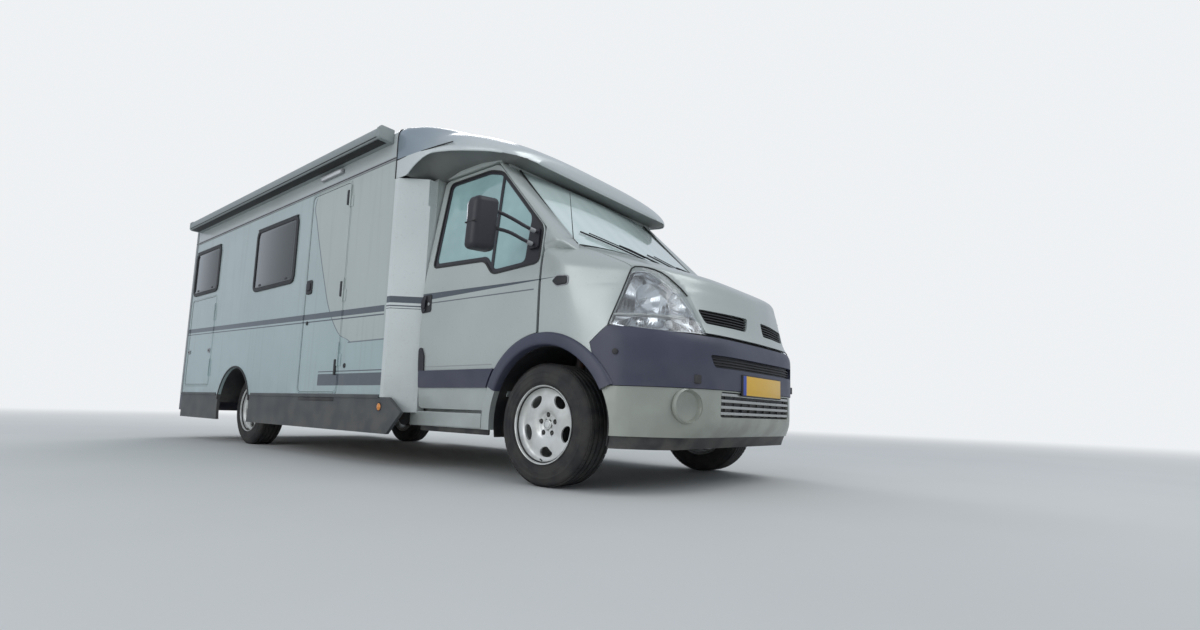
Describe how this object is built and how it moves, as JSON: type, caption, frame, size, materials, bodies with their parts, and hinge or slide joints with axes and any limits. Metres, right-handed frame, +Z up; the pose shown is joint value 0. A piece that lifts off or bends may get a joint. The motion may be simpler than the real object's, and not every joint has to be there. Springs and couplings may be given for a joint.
{
  "type": "motorhome",
  "caption": "Low-profile motorhome on a van cab, with hinged doors and bonnet, steered front wheels that roll, an awning cassette, windows and a hollow living box.",
  "frame": {"origin": "on the ground, at mid-length on the centre plane", "axes": "+X towards the front of the vehicle, +Y to its left, +Z up"},
  "size_m": [6.4802, 2.74, 2.6399],
  "materials": {
    "body_silver": "metallic paint",
    "apron_silver": "metallic paint on plastic",
    "box_side": "smooth gloss sheet",
    "box_white": "smooth gloss",
    "cap_blue_grey": "metallic paint",
    "slate_plastic": "fine grain",
    "black_plastic": "fine grain",
    "lamp_clear": "clear lens",
    "lamp_red": "red lens",
    "screen_glass": "tinted",
    "window_acrylic": "dark tinted acrylic",
    "awning_grey": "satin",
    "chassis_steel": "matt black paint",
    "floor_board": "sealed panel",
    "seat_cloth": "woven",
    "rim_alloy": "silver lacquer",
    "tyre_rubber": "matt"
  },
  "bodies": {
    "vehicle": {"cab_shell": "body_silver", "front_wings": "body_silver", "front_apron": "apron_silver", "left_side_wall": "box_side", "right_side_wall": "box_side", "box_roof": "box_white", "rear_wall": "box_white", "corner_panels": "box_white", "roof_cap": "cap_blue_grey", "front_bumper": "slate_plastic", "skirts": "slate_plastic", "rear_bumper": "slate_plastic", "dashboard": "black_plastic", "tanks": "black_plastic", "headlamps": "lamp_clear", "rear_lamps": "lamp_red", "windscreen": "screen_glass", "side_windows": "window_acrylic", "rooflights": "window_acrylic", "awning_cassette": "awning_grey", "chassis_frame": "chassis_steel", "front_suspension": "chassis_steel", "rear_axle": "chassis_steel", "engine_block": "chassis_steel", "exhaust": "chassis_steel", "box_floor": "floor_board", "cab_seats": "seat_cloth"},
    "right_cab_door": {"right_cab_door": "body_silver", "right_door_glass": "screen_glass"},
    "left_cab_door": {"left_cab_door": "body_silver", "left_door_glass": "screen_glass"},
    "bonnet": {"bonnet": "body_silver"},
    "entry_door": {"entry_door": "box_side"},
    "right_garage_door": {"right_garage_door": "box_side"},
    "left_garage_door": {"left_garage_door": "box_side"},
    "right_knuckle": {"right_knuckle": "chassis_steel"},
    "left_knuckle": {"left_knuckle": "chassis_steel"},
    "steering_wheel": {"steering_wheel": "black_plastic"},
    "front_right_wheel": {"front_right_rim": "rim_alloy", "front_right_tyre": "tyre_rubber"},
    "front_left_wheel": {"front_left_rim": "rim_alloy", "front_left_tyre": "tyre_rubber"},
    "rear_right_wheel": {"rear_right_rim": "rim_alloy", "rear_right_tyre": "tyre_rubber"},
    "rear_left_wheel": {"rear_left_rim": "rim_alloy", "rear_left_tyre": "tyre_rubber"}
  },
  "joints": [
    {"name": "right_cab_door_hinge", "type": "hinge", "parent": "vehicle", "child": "right_cab_door", "pos_m": [2.322, -0.988, 1], "axis": [0, 0, 1], "range_deg": [0, 70]},
    {"name": "left_cab_door_hinge", "type": "hinge", "parent": "vehicle", "child": "left_cab_door", "pos_m": [2.322, 0.988, 1], "axis": [0, 0, -1], "range_deg": [0, 70]},
    {"name": "bonnet_hinge", "type": "hinge", "parent": "vehicle", "child": "bonnet", "pos_m": [2.408, 0, 1.385], "axis": [0, -1, 0], "range_deg": [0, 50]},
    {"name": "entry_door_hinge", "type": "hinge", "parent": "vehicle", "child": "entry_door", "pos_m": [0.322, -1.142, 1.3], "axis": [0, 0, 1], "range_deg": [0, 165]},
    {"name": "right_garage_door_hinge", "type": "hinge", "parent": "vehicle", "child": "right_garage_door", "pos_m": [-2.408, -1.142, 1], "axis": [0, 0, 1], "range_deg": [0, 120]},
    {"name": "left_garage_door_hinge", "type": "hinge", "parent": "vehicle", "child": "left_garage_door", "pos_m": [-2.408, 1.142, 1], "axis": [0, 0, -1], "range_deg": [0, 120]},
    {"name": "left_steer", "type": "hinge", "parent": "vehicle", "child": "left_knuckle", "pos_m": [2.372, 0.776, 0.345], "axis": [0, 0, 1], "range_deg": [-35, 35]},
    {"name": "right_steer", "type": "hinge", "parent": "vehicle", "child": "right_knuckle", "pos_m": [2.372, -0.776, 0.345], "axis": [0, 0, 1], "range_deg": [-35, 35]},
    {"name": "steering_column", "type": "hinge", "parent": "vehicle", "child": "steering_wheel", "pos_m": [1.8538, 0.4, 1.2242], "axis": [-0.6, 0, 0.8], "range_deg": [-525, 525]},
    {"name": "front_right_roll", "type": "hinge", "parent": "right_knuckle", "child": "front_right_wheel", "pos_m": [2.372, -0.87, 0.345], "axis": [0, 1, 0], "continuous": true},
    {"name": "front_left_roll", "type": "hinge", "parent": "left_knuckle", "child": "front_left_wheel", "pos_m": [2.372, 0.87, 0.345], "axis": [0, 1, 0], "continuous": true},
    {"name": "rear_right_roll", "type": "hinge", "parent": "vehicle", "child": "rear_right_wheel", "pos_m": [-1.706, -0.862, 0.345], "axis": [0, 1, 0], "continuous": true},
    {"name": "rear_left_roll", "type": "hinge", "parent": "vehicle", "child": "rear_left_wheel", "pos_m": [-1.706, 0.862, 0.345], "axis": [0, 1, 0], "continuous": true}
  ],
  "couplings": [
    {"joint": "right_steer", "follows": "left_steer", "ratio": 1},
    {"joint": "steering_column", "follows": "left_steer", "ratio": 15}
  ]
}
